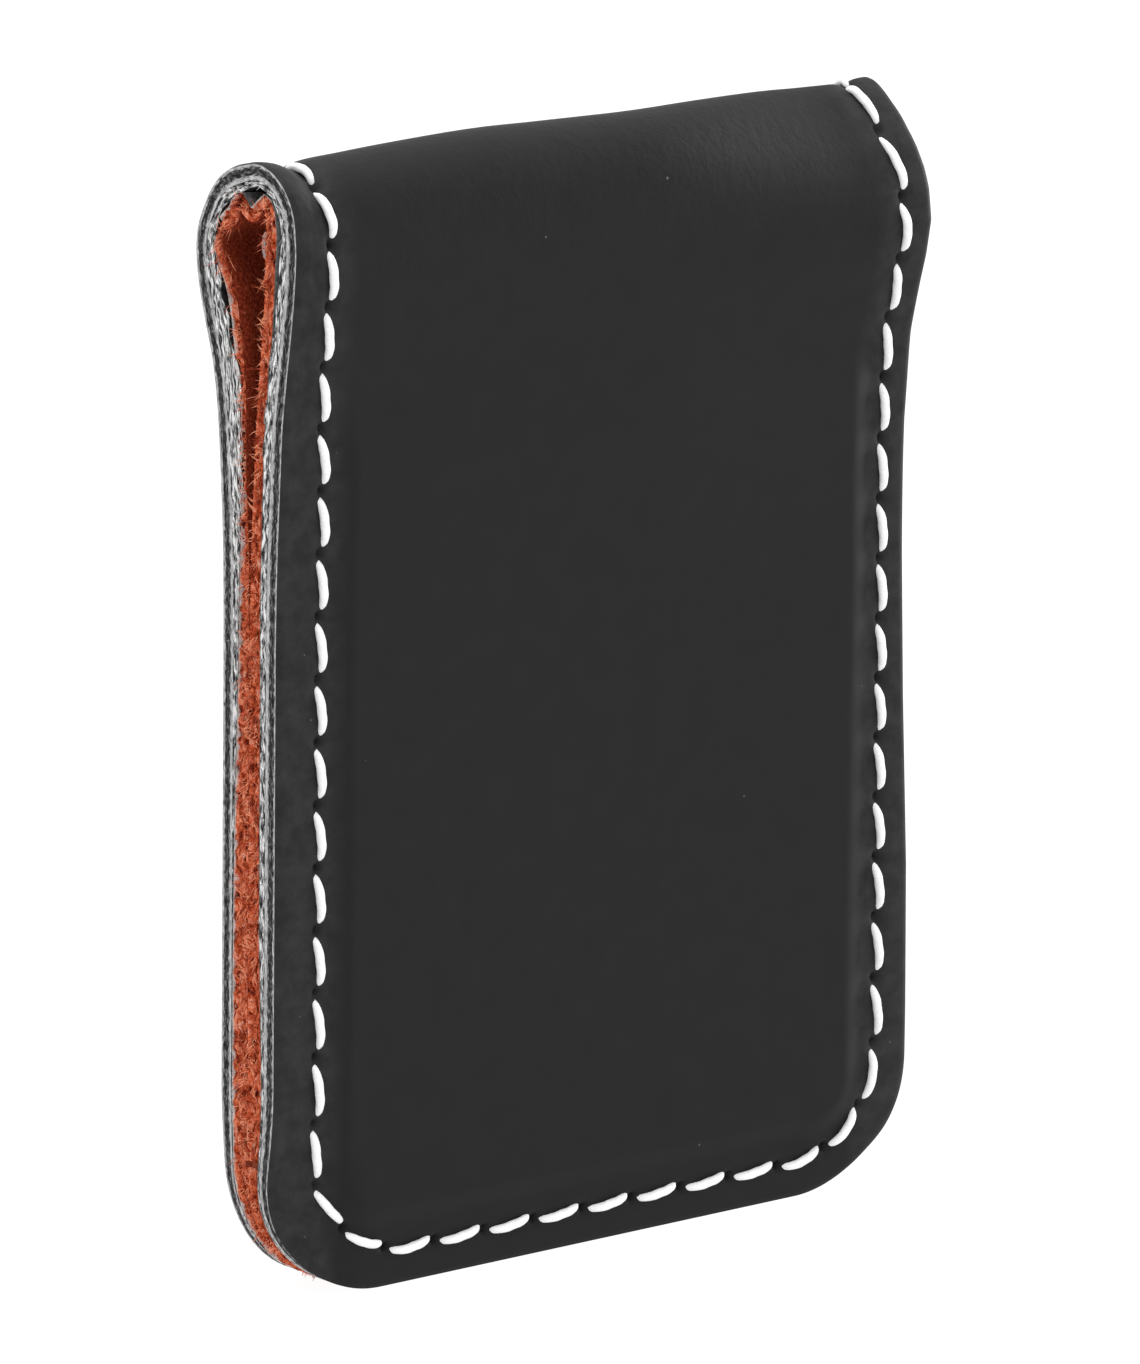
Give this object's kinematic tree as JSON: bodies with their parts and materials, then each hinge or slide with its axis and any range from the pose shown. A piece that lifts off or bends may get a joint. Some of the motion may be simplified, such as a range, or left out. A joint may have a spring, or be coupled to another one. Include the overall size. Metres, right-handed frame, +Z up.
{
  "type": "magnetic leather money clip",
  "caption": "Folded leather money clip with a sewn suede lining, stiffened flaps held shut by bar magnets, and a soft fold that opens flat.",
  "frame": {"origin": "centre of the footprint, at the bottom edge of the flaps", "axes": "+Z up from the flaps' open edge to the fold, -Y out of the front flap, +X to the right of the front flap seen from the front"},
  "size_m": [0.0444, 0.0094, 0.0629],
  "materials": {
    "cover_leather": "fine dark charcoal grain, satin",
    "backing_sheet": "light grey, matt",
    "suede_lining": "orange-red suede",
    "seam_thread": "white twisted thread",
    "stiffener_board": "dense fibreboard",
    "bar_magnet": "nickel plated"
  },
  "bodies": {
    "rear_flap": {"rear_flap_cover": "cover_leather", "rear_flap_backing": "backing_sheet", "rear_flap_lining": "suede_lining", "rear_flap_needle_thread": "seam_thread", "rear_flap_bobbin_thread": "seam_thread", "rear_stiffener_board": "stiffener_board", "rear_upper_magnet": "bar_magnet", "rear_lower_magnet": "bar_magnet"},
    "rear_fold": {"rear_fold_cover": "cover_leather", "rear_fold_backing": "backing_sheet", "rear_fold_lining": "suede_lining", "rear_fold_needle_thread": "seam_thread", "rear_fold_bobbin_thread": "seam_thread"},
    "front_fold": {"front_fold_cover": "cover_leather", "front_fold_backing": "backing_sheet", "front_fold_lining": "suede_lining", "front_fold_needle_thread": "seam_thread", "front_fold_bobbin_thread": "seam_thread"},
    "front_flap": {"front_flap_cover": "cover_leather", "front_flap_backing": "backing_sheet", "front_flap_lining": "suede_lining", "front_flap_needle_thread": "seam_thread", "front_flap_bobbin_thread": "seam_thread", "front_stiffener_board": "stiffener_board", "front_upper_magnet": "bar_magnet", "front_lower_magnet": "bar_magnet"}
  },
  "joints": [
    {"name": "rear_shoulder_bend", "type": "hinge", "parent": "rear_flap", "child": "rear_fold", "pos_m": [0, 0.00282, 0.05], "axis": [-1, 0, 0], "range_deg": [0, 60], "stiffness_Nm_per_rad": 0.002, "springref_deg": -85.94},
    {"name": "crown_bend", "type": "hinge", "parent": "rear_fold", "child": "front_fold", "pos_m": [0, -0.00105, 0.0626], "axis": [-1, 0, 0], "range_deg": [0, 60], "stiffness_Nm_per_rad": 0.002, "springref_deg": -85.94},
    {"name": "front_shoulder_bend", "type": "hinge", "parent": "front_fold", "child": "front_flap", "pos_m": [0, -0.00346, 0.05], "axis": [-1, 0, 0], "range_deg": [0, 60], "stiffness_Nm_per_rad": 0.002, "springref_deg": -85.94}
  ],
  "couplings": [
    {"joint": "rear_shoulder_bend", "follows": "crown_bend", "ratio": 1},
    {"joint": "front_shoulder_bend", "follows": "crown_bend", "ratio": 1}
  ]
}
